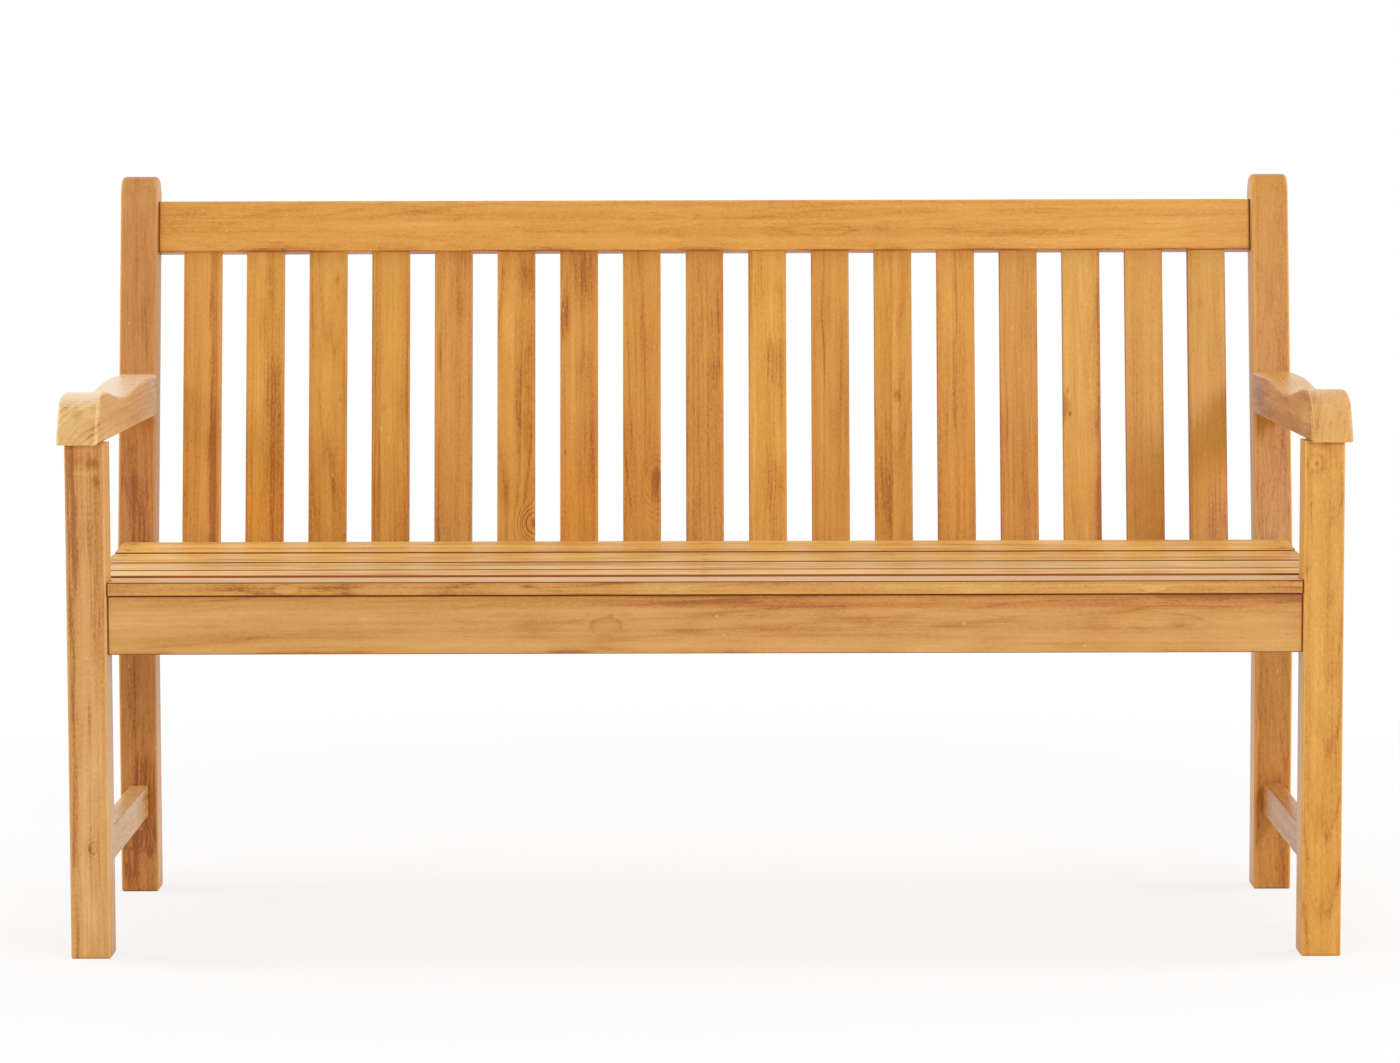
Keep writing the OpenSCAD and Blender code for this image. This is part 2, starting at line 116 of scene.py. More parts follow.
def give(node: str, finish: bpy.types.Material) -> None:
    """Gives a node of the frame its finish.

    Args:
        node: the node's name.
        finish: its material.
    """
    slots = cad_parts[node].data.materials
    slots.clear()
    slots.append(finish)
    LOG.info("dressed %s", node)


# ---- How a board was sawn and how it lies ---------------------------------------


class Lie(Enum):
    """How a board lies: the way its width runs, and the way its length does."""

    LEG = ((1, 0, 0), (0, 0, 1))
    BENT_LEG = ((1, 0, 0), (0, math.sin(RAKE / 2), math.cos(RAKE / 2)))
    BACK_SLAT = ((1, 0, 0), (0, math.sin(RAKE), math.cos(RAKE)))
    TOP_RAIL = ((0, -math.sin(RAKE), -math.cos(RAKE)), (1, 0, 0))
    UPRIGHT_RAIL = ((0, 0, -1), (1, 0, 0))
    SEAT_SLAT = ((0, -1, 0), (1, 0, 0))
    ARM = ((1, 0, 0), (0, 1, 0))
    SIDE_RAIL = ((0, 0, 1), (0, 1, 0))

    def turn(self) -> Matrix:
        """The rotation whose columns are the board's width, length and face."""
        across, along = (Vector(v) for v in self.value)
        return Matrix((across, along, across.cross(along))).transposed()


class Cut(Enum):
    """How a board was sawn from the log.

    Each is the pith's place beside and below the board's middle, in mm, and how
    far it wanders in those two directions for each mm along the board.
    """

    QUARTER = ((150.0, -30.0), (0.012, 0.0))
    RIFT = ((-90.0, -70.0), (-0.020, 0.010))
    FLAT = ((6.0, -26.0), (0.012, 0.050))
    CREST = ((-14.0, -16.0), (0.060, -0.045))
    HEART = ((20.0, -45.0), (-0.030, 0.020))


@dataclass(frozen=True)
class Knot:
    """A knot, a smudge or a pale patch, in mm from the middle of a board's face.

    Size is its radius across the grain, and stretch how many times longer it is
    along it. Depth is how dark it is, below 0 where it is pale. Swirl is how many
    growth lines bend round it.
    """

    across: float
    along: float
    size: float
    depth: float = 0.5
    stretch: float = 2.0
    swirl: float = 0.0
    rise: float | None = None  # its middle through the board, where an edge shows it


@dataclass(frozen=True)
class Figure:
    """Soft light and dark in the wood, drawn out along the grain."""

    size_mm: Point  # across, along and through the board
    salt: float  # sets it apart from the board's other figure
    detail: float  # octaves of finer figure within it
    weight: float = 0.0  # how strongly it shades the wood
    curl: float = 0.0


@dataclass(frozen=True)
class Dashes:
    """Short dashes along the grain, each soft-edged."""

    spacing_mm: Point  # across, along and through the board
    salt: float
    core: float  # radius that is fully dark, in spacings
    edge: float  # radius at which it has faded, in spacings


@dataclass(frozen=True)
class Teak:
    """Oiled teak, planed and sanded: a soft sheen over straight, slightly oily grain.

    It shows broad gold and brown bands, darker growth lines, fine fibre, open
    pores drawn out along the grain, and a few pale specks of dust in the pores.
    """

    tone: str
    cut: Cut = Cut.RIFT
    bands: tuple[Stop, ...] = ((0.0, 0.5), (1.0, 0.5))  # shades from edge to edge
    ring_mm: float = 5.0
    lines: float = 0.24  # how dark its growth lines are
    knots: tuple[Knot, ...] = ()
    figure: float = 1.0  # how strongly its figure shows
    fine: float = 1.0  # how strongly its fibre shows
    sheen: float = 0.29  # roughness
    polish: float = 0.3  # specular level

    fade: float = 0.0  # how much darker its near end is than its far end: painted shade towards the seat and floor on the back slats and back legs, a change of tone on the other boards
    orange_foot_and_bounce: float = 0.0  # how far its near end is tinted orange: on the back slats a painted warm bounce light from the seat
    top: float = 0.0  # how far its upper face is painted pale: a painted sheen
    sides: float = 0.0  # how its sawn side faces are painted: painted shade above 0, painted light below 0
    end: float = 0.10  # how dark its end grain is
    edge_highlight: float = 0.22  # how pale its rounded edges are painted: a painted highlight
    pores: float = 0.32  # how dark its open pores are
    dust: float = 0.55  # how pale the dust in them is
    shade_stops: tuple[Stop, ...] = ()  # painted shade, by how far the surface turns sideways
    joint_mm: float = 0.0  # from the middle to the shoulders, 0 for none to draw
    ledge_mm: float = 0.0  # how far the painted shadow under a board above reaches down its face
    # The colour of the painted shade in gaps, under a ledge and at the shoulders.
    joint_and_gap_shade: str = "#5a3514"
    sheened: str = "#f0d2ac"  # the pale colour of that painted sheen
    dust_colour: str = "#f0cd96"

    # Pores are drawn 6 times coarser than real ones, and fibre twice as coarse.
    pore_marks: Dashes = Dashes((3.2, 24.0, 3.2), 0, 0.08, 0.26)
    dust_marks: Dashes = Dashes((11.0, 24.0, 11.0), 5, 0.05, 0.105)
    fibre: Figure = Figure((1.9, 45.0, 1.9), 3, 2, 0.70)
    grit: Figure = Figure((1.7, 4.0, 1.7), 6, 0, 0.50)
    streak: Figure = Figure((4.5, 300.0, 4.5), 2, 3, 0.75)
    broad: Figure = Figure((17.0, 420.0, 17.0), 1, 1, 0.75)
    blotch: Figure = Figure((38.0, 110.0, 38.0), 4, 3, 0.70, 0.6)
    wander: Figure = Figure((70.0, 300.0, 70.0), 11, 2)  # pushes the rings about
    uneven: Figure = Figure((9.0, 500.0, 9.0), 23, 1)  # makes some years wider
    faint: Figure = Figure((22.0, 200.0, 22.0), 37, 1)  # fades the rings in places
    wander_mm: float = 14.0
    bend: float = 0.24  # how far the bands wander, in board widths

    # How dark the wood grows through one year, and the least that shows of it.
    year: tuple[Stop, ...] = (
        (0.0, 0.30), (0.12, 0.0), (0.50, 0.10), (0.74, 0.45), (0.86, 1.0), (1.0, 0.30),
    )
    faintest: float = 0.15
    knot_weight: float = 0.65
    swirl_weight: float = 0.22
    end_ring_weight: float = 0.4
    end_figure: float = 0.4  # how much of the figure shows in end grain
    end_pores: float = 0.08

    # What the shades from pale gold to dark brown do to the tone's red, green and blue.
    shades: tuple[tuple[float, Point], ...] = (
        (0.0, (1.20, 1.34, 1.25)),
        (0.28, (1.08, 1.12, 0.95)),
        (0.52, (1.0, 0.98, 0.76)),
        (0.80, (0.84, 0.70, 0.46)),
        (1.0, (0.60, 0.42, 0.28)),
    )
    pore_tint: Point = (0.45, 0.30, 0.20)
    foot_tint: Point = (1.04, 0.86, 0.40)
    foot_reach: tuple[float, float] = (0.05, -0.4)  # none and full, in board lengths

    # Where the dark line before a shoulder begins and is thick, and how dark it is: a dark joint,
    # with painted shadow in its gap.
    shoulder_mm: tuple[float, float] = (2.7, 1.3)
    shoulder_joint_shade: float = 0.9
    ledge_full: float = 0.6  # the share of its reach under a ledge where the painted shadow is thick
    ledge_shadow: float = 0.85

    ior: float = 1.45
    sheen_spread: tuple[float, float] = (-0.05, 0.07)  # smoother and duller fibre
    relief: float = 0.30
    relief_mm: float = 0.4
    pore_depth: float = 0.5  # against the fibre's height

    def tint(self, shares: Point) -> Colour:
        """The board's tone with each linear channel multiplied, and none above 1."""
        return tuple(min(c * s, 1) for c, s in zip(linear(self.tone), shares)) + (1,)

    def material(self, name: str, board: "Board") -> bpy.types.Material:
        """Makes a board's own material.

        Args:
            name: the material's name.
            board: the board that it is for.

        Returns:
            The material.
        """
        finish = bare_material(name)
        Grain(self, board, finish.node_tree).surface()
        return finish


@dataclass(frozen=True)
class Board:
    """One board of the bench. Its seed makes its grain its own."""

    node: str
    lie: Lie
    width_mm: float
    seed: float

    def middle(self) -> Vector:
        """The middle of the board's box."""
        low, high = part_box(self.node)
        return (low + high) / 2

    def length_mm(self) -> float:
        """The board's length along its grain."""
        low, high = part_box(self.node)
        return abs((high - low).dot(Vector(self.lie.value[1]))) / MM

    def dress(self, finish: Teak) -> None:
        """Gives the board its own teak."""
        give(self.node, finish.material("teak_" + self.node, self))


# Between which values most of a figure lies, and nearly all of it.
MOST_FIGURE = (0.35, 0.65)
ALL_FIGURE = (0.3, 0.7)

# How far a surface turns endways, upwards or sideways, from 0 to 1, to be each face.
END_GRAIN = (0.6, 0.95)
UPPER_FACE = (0.7, 0.95)
END_FACE: tuple[Stop, ...] = ((0.6, 0.0), (0.95, 1.0))
# Side faces, where painted shade and light go.
SAWN_EDGE: tuple[Stop, ...] = ((0.32, 0.0), (0.42, 1.0))
# Rounded edges, where the painted highlight goes.
ROUNDED_EDGE: tuple[Stop, ...] = ((0.05, 0.0), (0.15, 1.0), (0.40, 1.0), (0.60, 0.0))


class Grain:
    """One board's teak, worked up in nodes from the board's own coordinates."""

    def __init__(self, teak: Teak, board: Board, tree: bpy.types.NodeTree) -> None:
        """Finds where each point lies on the board and which way it faces.

        Args:
            teak: the finish.
            board: the board that it is for.
            tree: the material's nodes.
        """
        self.teak, self.board, self.tree = teak, board, tree
        lying = {
            "Vector": add_node(tree, "ShaderNodeTexCoord", out="Object"),
            "Location": board.middle(),
            "Rotation": board.lie.turn().to_euler(),
            "Scale": (MM, MM, MM),
        }
        self.place = add_node(tree, "ShaderNodeMapping", lying, vector_type="TEXTURE")
        self.across = add_node(tree, "ShaderNodeSeparateXYZ", {0: self.place}, out="X")
        self.along = self.across.node.outputs["Y"]
        self.normal = add_node(tree, "ShaderNodeNewGeometry", out="True Normal")
        self.sideways, self.endways = (self.facing(way) for way in board.lie.value)
        self.end_grain = add_node(
            tree,
            "ShaderNodeMapRange",
            {"Value": self.endways, "From Min": END_GRAIN[0], "From Max": END_GRAIN[1]},
        )
        self.knots = [(self.knot_mask(knot), knot) for knot in teak.knots]
        self.lines = self.growth_lines()
        self.fibre = self.figure(teak.fibre)

    def facing(self, way: Point) -> Socket:
        """Finds how squarely the surface faces a way or its opposite.

        Args:
            way: the direction.

        Returns:
            0 where it runs along that way, 1 where it faces it.
        """
        turned = add_node(
            self.tree,
            "ShaderNodeVectorMath",
            {0: self.normal, 1: way},
            out="Value",
            operation="DOT_PRODUCT",
        )
        return add_node(self.tree, "ShaderNodeMath", {0: turned}, operation="ABSOLUTE")

    def scaled(self, size_mm: Point) -> Socket:
        """Scales the board's coordinates to a pattern.

        Args:
            size_mm: the pattern's size across, along and through the board.

        Returns:
            The coordinates in sizes of the pattern.
        """
        return add_node(
            self.tree,
            "ShaderNodeVectorMath",
            {0: self.place, 1: tuple(1 / s for s in size_mm)},
            operation="MULTIPLY",
        )

    def figure(self, kind: Figure) -> Socket:
        """Draws figure in the wood.

        Args:
            kind: the figure.

        Returns:
            Its light and dark, about 0.5.
        """
        return add_node(
            self.tree,
            "ShaderNodeTexNoise",
            {
                "Vector": self.scaled(kind.size_mm),
                "W": self.board.seed + kind.salt,
                "Scale": 1.0,
                "Detail": kind.detail,
                "Distortion": kind.curl,
            },
            noise_dimensions="4D",
        )

    def dashes(self, kind: Dashes) -> Socket:
        """Draws short dashes along the grain.

        Args:
            kind: the dashes.

        Returns:
            1 inside a dash and 0 between them.
        """
        near = add_node(
            self.tree,
            "ShaderNodeTexVoronoi",
            {
                "Vector": self.scaled(kind.spacing_mm),
                "W": self.board.seed + kind.salt,
                "Scale": 1.0,
            },
            out="Distance",
            voronoi_dimensions="4D",
        )
        return add_node(
            self.tree,
            "ShaderNodeMapRange",
            {"Value": near, "From Min": kind.edge, "From Max": kind.core},
            interpolation_type="SMOOTHSTEP",
        )

    def knot_mask(self, knot: Knot) -> Socket:
        """Draws a soft spot where a knot is.

        Args:
            knot: the knot.

        Returns:
            1 at its centre and 0 round it.
        """
        flat = add_node(
            self.tree,
            "ShaderNodeVectorMath",
            {0: self.place, 1: (1, 1 / knot.stretch, 0 if knot.rise is None else 1)},
            operation="MULTIPLY",
        )
        away = add_node(
            self.tree,
            "ShaderNodeVectorMath",
            {0: flat, 1: (knot.across, knot.along / knot.stretch, knot.rise or 0)},
            out="Value",
            operation="DISTANCE",
        )
        return add_node(
            self.tree,
            "ShaderNodeMapRange",
            {"Value": away, "From Min": knot.size, "From Max": 0.0},
            interpolation_type="SMOOTHERSTEP",
        )

    def added(
        self, base: Socket | float, parts: Iterable[tuple[Socket, Socket | float]]
    ) -> Socket | float:
        """Adds parts to a value, each by its weight.

        Args:
            base: the value to start from.
            parts: each part and its weight.

        Returns:
            The sum.
        """
        for part, weight in parts:
            base = add_node(
                self.tree,
                "ShaderNodeMath",
                {0: part, 1: weight, 2: base},
                operation="MULTIPLY_ADD",
            )
        return base

    def growth_lines(self) -> Socket:
        """Cuts the growth rings as the board's faces do, and bends them round its knots.

        Returns:
            0 in pale wood and 1 at a dark line.
        """
        teak, tree = self.teak, self.tree
        (beside, below), (drift, climb) = teak.cut.value
        push = teak.wander_mm
        pushed = add_node(
            tree,
            "ShaderNodeVectorMath",
            {
                0: self.figure(teak.wander).node.outputs["Color"],
                1: (push, 0, push),
                2: self.place,
            },
            operation="MULTIPLY_ADD",
        )
        line = add_node(tree, "ShaderNodeCombineXYZ", {i: self.along for i in range(3)})
        pith = add_node(
            tree,
            "ShaderNodeVectorMath",
            {0: line, 1: (drift, 1, climb), 2: (beside + push / 2, 0, below + push / 2)},
            operation="MULTIPLY_ADD",
        )
        radius = add_node(
            tree,
            "ShaderNodeVectorMath",
            {0: pushed, 1: pith},
            out="Value",
            operation="DISTANCE",
        )
        swirls = ((mask, knot.swirl * teak.ring_mm) for mask, knot in self.knots)
        radius = self.added(radius, swirls)
        years = self.added(self.figure(teak.uneven), [(radius, 1 / teak.ring_mm)])
        year = add_node(tree, "ShaderNodeMath", {0: years}, operation="FRACT")
        profile = add_node(tree, "ShaderNodeValToRGB", {0: year}, stops=teak.year)
        low, high = MOST_FIGURE
        strength = add_node(
            tree,
            "ShaderNodeMapRange",
            {
                "Value": self.figure(teak.faint),
                "From Min": low,
                "From Max": high,
                "To Min": teak.faintest,
            },
        )
        return add_node(
            tree, "ShaderNodeMath", {0: profile, 1: strength}, operation="MULTIPLY"
        )

    def banding(self, blotch: Socket) -> Socket:
        """Lays the bands across the board.

        Args:
            blotch: the figure that bends them a little.

        Returns:
            Their shade.
        """
        bend = self.teak.bend
        share = self.added(0.5, [(self.across, 1 / self.board.width_mm)])
        bent = self.added(-bend / 2, [(blotch, bend)])
        share = add_node(self.tree, "ShaderNodeMath", {0: share, 1: bent}, operation="ADD")
        return add_node(self.tree, "ShaderNodeValToRGB", {0: share}, stops=self.teak.bands)

    def shade(self) -> Socket:
        """Adds up all that makes the wood darker, or paler where a weight is below 0.

        Returns:
            0 where it is pale gold and 1 where it is dark brown.
        """
        teak, tree = self.teak, self.tree
        blotch = self.figure(teak.blotch)
        figures = (
            (self.figure(teak.broad), teak.broad.weight * teak.figure),
            (self.figure(teak.streak), teak.streak.weight * teak.figure * teak.fine),
            (self.fibre, teak.fibre.weight * teak.fine),
            (self.figure(teak.grit), teak.grit.weight * teak.fine),
            (blotch, teak.blotch.weight * teak.figure),
        )
        centred = [
            (add_node(tree, "ShaderNodeMath", {0: drawn, 1: -0.5}, operation="ADD"), weight)
            for drawn, weight in figures
        ]
        shown = add_node(
            tree,
            "ShaderNodeMapRange",
            {"Value": self.end_grain, "To Min": 1.0, "To Max": teak.end_figure},
        )
        swirls = ((mask, teak.swirl_weight * abs(knot.swirl)) for mask, knot in self.knots)
        end_rings = add_node(
            tree, "ShaderNodeMath", {0: self.end_grain, 1: self.lines}, operation="MULTIPLY"
        )
        marks = [
            (self.added(0.0, centred), shown),
            (self.lines, self.added(teak.lines, swirls)),
            *((mask, teak.knot_weight * knot.depth) for mask, knot in self.knots),
            # darker towards the near end, partly painted shade
            (self.along, -teak.fade / self.board.length_mm()),
            (end_rings, teak.end_ring_weight * teak.lines),
        ]

        # End grain drinks more oil and is darker. The sawn side faces get painted shade, and
        # painted light where their weight is below 0; the rounded edges get a painted highlight.
        for turned, stops, weight in (
            (self.endways, END_FACE, teak.end),
            (self.sideways, SAWN_EDGE, teak.sides),
            (self.sideways, ROUNDED_EDGE, -teak.edge_highlight),
        ):
            mark = add_node(tree, "ShaderNodeValToRGB", {0: turned}, stops=stops)
            marks.append((mark, weight))
        return self.added(self.banding(blotch), marks)

    def joint_and_gap_shade(self) -> Socket | float:
        """Finds the painted shade in the gaps, at the shoulders, where it joins a dark joint line,
        and under a board above.

        Returns:
            Where it is and how thick, from 0 to 1.
        """
        teak, tree = self.teak, self.tree
        joint_and_gap_shade: Socket | float = 0.0
        if teak.shade_stops:
            joint_and_gap_shade = add_node(tree, "ShaderNodeValToRGB", {0: self.sideways}, stops=teak.shade_stops)
        drawn = []
        if teak.joint_mm:
            out = add_node(tree, "ShaderNodeMath", {0: self.along}, operation="ABSOLUTE")
            none, full = (teak.joint_mm - before for before in teak.shoulder_mm)
            drawn.append((out, none, full, teak.shoulder_joint_shade))
        if teak.ledge_mm:
            edge = self.board.width_mm / 2
            none, full = teak.ledge_mm - edge, teak.ledge_full * teak.ledge_mm - edge
            drawn.append((self.across, none, full, teak.ledge_shadow))
        for way, none, full, most in drawn:
            line = add_node(
                tree,
                "ShaderNodeMapRange",
                {"Value": way, "From Min": none, "From Max": full, "To Max": most},
            )
            joint_and_gap_shade = add_node(tree, "ShaderNodeMath", {0: line, 1: joint_and_gap_shade}, operation="MAXIMUM")
        return joint_and_gap_shade

    def coats(self, pores: Socket) -> list[tuple[Socket, Colour, str]]:
        """Lists what is laid over the plain wood, from the lowest coat up: painted sheen, painted
        shade, the orange near end, pores and dust.

        Args:
            pores: where the open pores are.

        Returns:
            Each coat's mask, its colour and how it blends.
        """
        teak, tree = self.teak, self.tree
        # Upper faces are painted pale towards the sheened colour: a painted sheen.
        upward = add_node(tree, "ShaderNodeSeparateXYZ", {0: self.normal}, out="Z")
        sheened = add_node(
            tree,
            "ShaderNodeMapRange",
            {
                "Value": upward,
                "From Min": UPPER_FACE[0],
                "From Max": UPPER_FACE[1],
                "To Max": teak.top,
            },
        )
        coats = [(sheened, linear(teak.sheened), "MIX")]
        # Painted shade in the gaps, under a ledge and at the shoulders.
        joint_and_gap_shade = self.joint_and_gap_shade()
        if isinstance(joint_and_gap_shade, Socket):
            coats.append((joint_and_gap_shade, linear(teak.joint_and_gap_shade), "MIX"))
        # The near end is tinted orange: on the back slats a painted warm bounce light from the
        # seat.
        if teak.orange_foot_and_bounce:
            none, full = (share * self.board.length_mm() for share in teak.foot_reach)
            low = add_node(
                tree,
                "ShaderNodeMapRange",
                {"Value": self.along, "From Min": none, "From Max": full, "To Max": teak.orange_foot_and_bounce},
                interpolation_type="SMOOTHSTEP",
            )
            coats.append((low, teak.foot_tint + (1,), "MULTIPLY"))
        depth = add_node(
            tree,
            "ShaderNodeMapRange",
            {"Value": self.end_grain, "To Min": teak.pores, "To Max": teak.end_pores},
        )
        dust = self.dashes(teak.dust_marks)
        for mask, weight, colour in (
            (pores, depth, teak.tint(teak.pore_tint)),
            (dust, teak.dust, linear(teak.dust_colour)),
        ):
            seen = add_node(tree, "ShaderNodeMath", {0: mask, 1: weight}, operation="MULTIPLY")
            coats.append((seen, colour, "MIX"))
        return coats

    def surface(self) -> None:
        """Finishes the wood: its colour, its relief and its sheen."""
        teak, tree = self.teak, self.tree
        pores = self.dashes(teak.pore_marks)
        stops = tuple((position, teak.tint(shares)) for position, shares in teak.shades)
        colour = add_node(tree, "ShaderNodeValToRGB", {0: self.shade()}, stops=stops)
        for mask, coat, blend in self.coats(pores):
            colour = add_node(
                tree,
                "ShaderNodeMix",
                {0: mask, 6: colour, 7: coat},
                out=2,
                data_type="RGBA",
                blend_type=blend,
            )
        height = self.added(self.fibre, [(pores, -teak.pore_depth)])
        bump = add_node(
            tree,
            "ShaderNodeBump",
            {"Strength": teak.relief, "Distance": teak.relief_mm * MM, "Height": height},
        )
        low, high = ALL_FIGURE
        smooth, dull = (teak.sheen + change for change in teak.sheen_spread)
        rough = add_node(
            tree,
            "ShaderNodeMapRange",
            {
                "Value": self.fibre,
                "From Min": low,
                "From Max": high,
                "To Min": smooth,
                "To Max": dull,
            },
        )
        shader = add_node(
            tree,
            "ShaderNodeBsdfPrincipled",
            {
                "Base Color": colour,
                "Roughness": rough,
                "Normal": bump,
                "IOR": teak.ior,
                "Specular IOR Level": teak.polish,
            },
        )
        add_node(tree, "ShaderNodeOutputMaterial", {"Surface": shader})


# ---- The bench's sub-assemblies ---------------------------------------------------


RAIL_SHOULDER_MM = 696.0  # from the middle of a long rail to its shoulders
GAP_SHADE = "#8c4400"  # painted shade in the gaps between the seat slats
UNDER_EDGE_SHADE = "#702c04"  # the same, darker: painted shadow under the front slat's edge

# No two boards are alike. Their bands run from left to right, and down a rail.
END_TEAKS: dict[str, Teak] = {
    "front_leg_left": Teak(
        "#d09b64",
        Cut.RIFT,
        (
            (0.0, 0.85), (0.08, 0.55), (0.2, 0.75), (0.26, 0.4),
            (0.6, 0.35), (0.75, 0.55), (1.0, 0.4),
        ),
        knots=(
            Knot(0, 270, 26, 0.35, 0.8),
            Knot(9, 264, 12, 0.5, 0.8),
            Knot(-3, 253, 19, -0.4, 0.2),
            Knot(13, 244, 9, 0.4, 1.5),
            Knot(-12, 210, 6, 0.45, 6),
            Knot(-4, 235, 66, 0.24, 1.6),
            Knot(-4, 180, 22, 0.2, 2.4),
            Knot(-11, 150, 7, 0.5, 9),
            Knot(2, -40, 4, 0.5, 14),
            Knot(0, -186, 13, 0.2, 1.6, 2.5),
            Knot(1, -188, 4, 0.5, 2),
            Knot(10, -60, 12, -0.3, 8),
            Knot(2, -262, 12, -0.35, 4),
        ),
        lines=0.30,
        ring_mm=4.0,
        figure=0.95,
        fade=-0.10,
        sides=-0.25,
    ),
    "front_leg_right": Teak(
        "#d19850",
        Cut.FLAT,
        ((0.0, 0.55), (0.3, 0.35), (0.6, 0.45), (0.8, 0.35), (1.0, 0.6)),
        knots=(
            Knot(-11, 261, 17, 1.0, 1.0, 1),
            Knot(-11, 261, 12, -1.6, 1.0),
            Knot(-10, 261, 6, 1.4, 1.0),
            Knot(-6, 232, 15, -0.25, 1.4),
            Knot(0, 225, 70, 0.15, 1.2),
            # darker wood with painted shadow under the arm, at the leg's top
            Knot(0, 283, 26, 0.35, 0.4),
            Knot(-8, 112, 14, -0.1, 5, 2.5),
            Knot(-4, 40, 14, -0.3, 5),
        ),
        lines=0.45,
        ring_mm=4.5,
        figure=0.9,
        orange_foot_and_bounce=0.3,
        sides=-0.35,
    ),
    "back_leg_left": Teak(
        "#bf834e",
        Cut.QUARTER,
        ((0.0, 0.5), (0.3, 0.4), (0.45, 0.65), (0.52, 0.45), (0.7, 0.6), (0.9, 0.4), (1.0, 0.5)),
        knots=(
            Knot(-4, 60, 12, 0.35, 4),
            # painted shadow of the arm, below it
            Knot(0, 60, 60, 0.32, 2.0),
            Knot(4, -300, 14, 0.4, 2.5),
            Knot(8, -390, 34, 0.35, 1.2, 3),
            Knot(-12, -430, 20, 0.3, 1.2, 1),
            Knot(14, -405, 6, 0.7, 2),
            Knot(4, 420, 16, -0.25, 1.5),
        ),
        figure=0.95,
        fade=0.34,
        sides=-1.3,
    ),
    "back_leg_right": Teak(
        "#c88c4b",
        Cut.RIFT,
        ((0.0, 0.65), (0.06, 0.2), (0.12, 0.65), (0.2, 0.5), (0.6, 0.5), (0.85, 0.6), (1.0, 0.45)),
        knots=(Knot(5, -330, 14, 0.4, 3), Knot(-2, 300, 10, 0.3, 5)),
        figure=0.55,
        fade=0.14,
        sides=-0.5,
    ),
    "arm_left": Teak(
        "#dcb07c",
        Cut.HEART,
        ring_mm=7.0,
        lines=0.48,
        sheen=0.30,
        polish=0.5,
        end=-0.05,
        # Its top gets a strong painted sheen, and its rounded edges a painted highlight.
        top=0.95,
        edge_highlight=0.40,
        pores=0.06,
        knots=(
            Knot(10, -60, 16, 0.3, 4),
            Knot(12, -262, 20, 0.3, 2, 0, -14),
            Knot(-4, -264, 12, 0.35, 2, 0, 6),
            Knot(14, -264, 10, 0.35, 2, 0, 12),
        ),
    ),
    "arm_right": Teak(
        "#d5a268",
        Cut.QUARTER,
        ring_mm=8.0,
        lines=0.2,
        sheen=0.30,
        polish=0.5,
        end=-0.05,
        sides=0.3,
        edge_highlight=0.25,
        pores=0.05,
        knots=(Knot(0, -250, 20, -0.15), Knot(-16, -262, 12, 0.3, 3)),
    ),
    "side_rail_left": Teak("#c98f50", Cut.RIFT),
    "side_rail_right": Teak("#cc9254", Cut.RIFT),
    # The left stretcher's top gets a painted sheen.
    "stretcher_left": Teak("#d6a76c", Cut.FLAT, figure=1.4, top=0.2),
    "stretcher_right": Teak("#c08748", Cut.RIFT, figure=1.3),
}


@dataclass
class EndFrames:
    """The two end frames: front legs, bent back legs, arms, side rails and stretchers."""

    leg_width: float = 47.0
    arm_width: float = 48.0
    rail_width: float = 69.0
    stretcher_width: float = 40.0
    first_seed: float = 3.1
    seed_step: float = 2.7
    teaks: dict[str, Teak] = field(default_factory=END_TEAKS.copy)

    def boards(self) -> list[Board]:
        """Lists the boards of both frames.

        Returns:
            The boards, the left frame's first.
        """
        kinds = (
            ("front_leg", Lie.LEG, self.leg_width),
            ("back_leg", Lie.BENT_LEG, self.leg_width),
            ("arm", Lie.ARM, self.arm_width),
            ("side_rail", Lie.SIDE_RAIL, self.rail_width),
            ("stretcher", Lie.SIDE_RAIL, self.stretcher_width),
        )
        placed = [(side, *kind) for side in ("left", "right") for kind in kinds]
        return [
            Board(f"{name}_{side}", lie, width, self.first_seed + self.seed_step * i)
            for i, (side, name, lie, width) in enumerate(placed)
        ]

    def dress(self) -> None:
        """Dresses each board in its own teak."""
        for board in self.boards():
            board.dress(self.teaks[board.node])


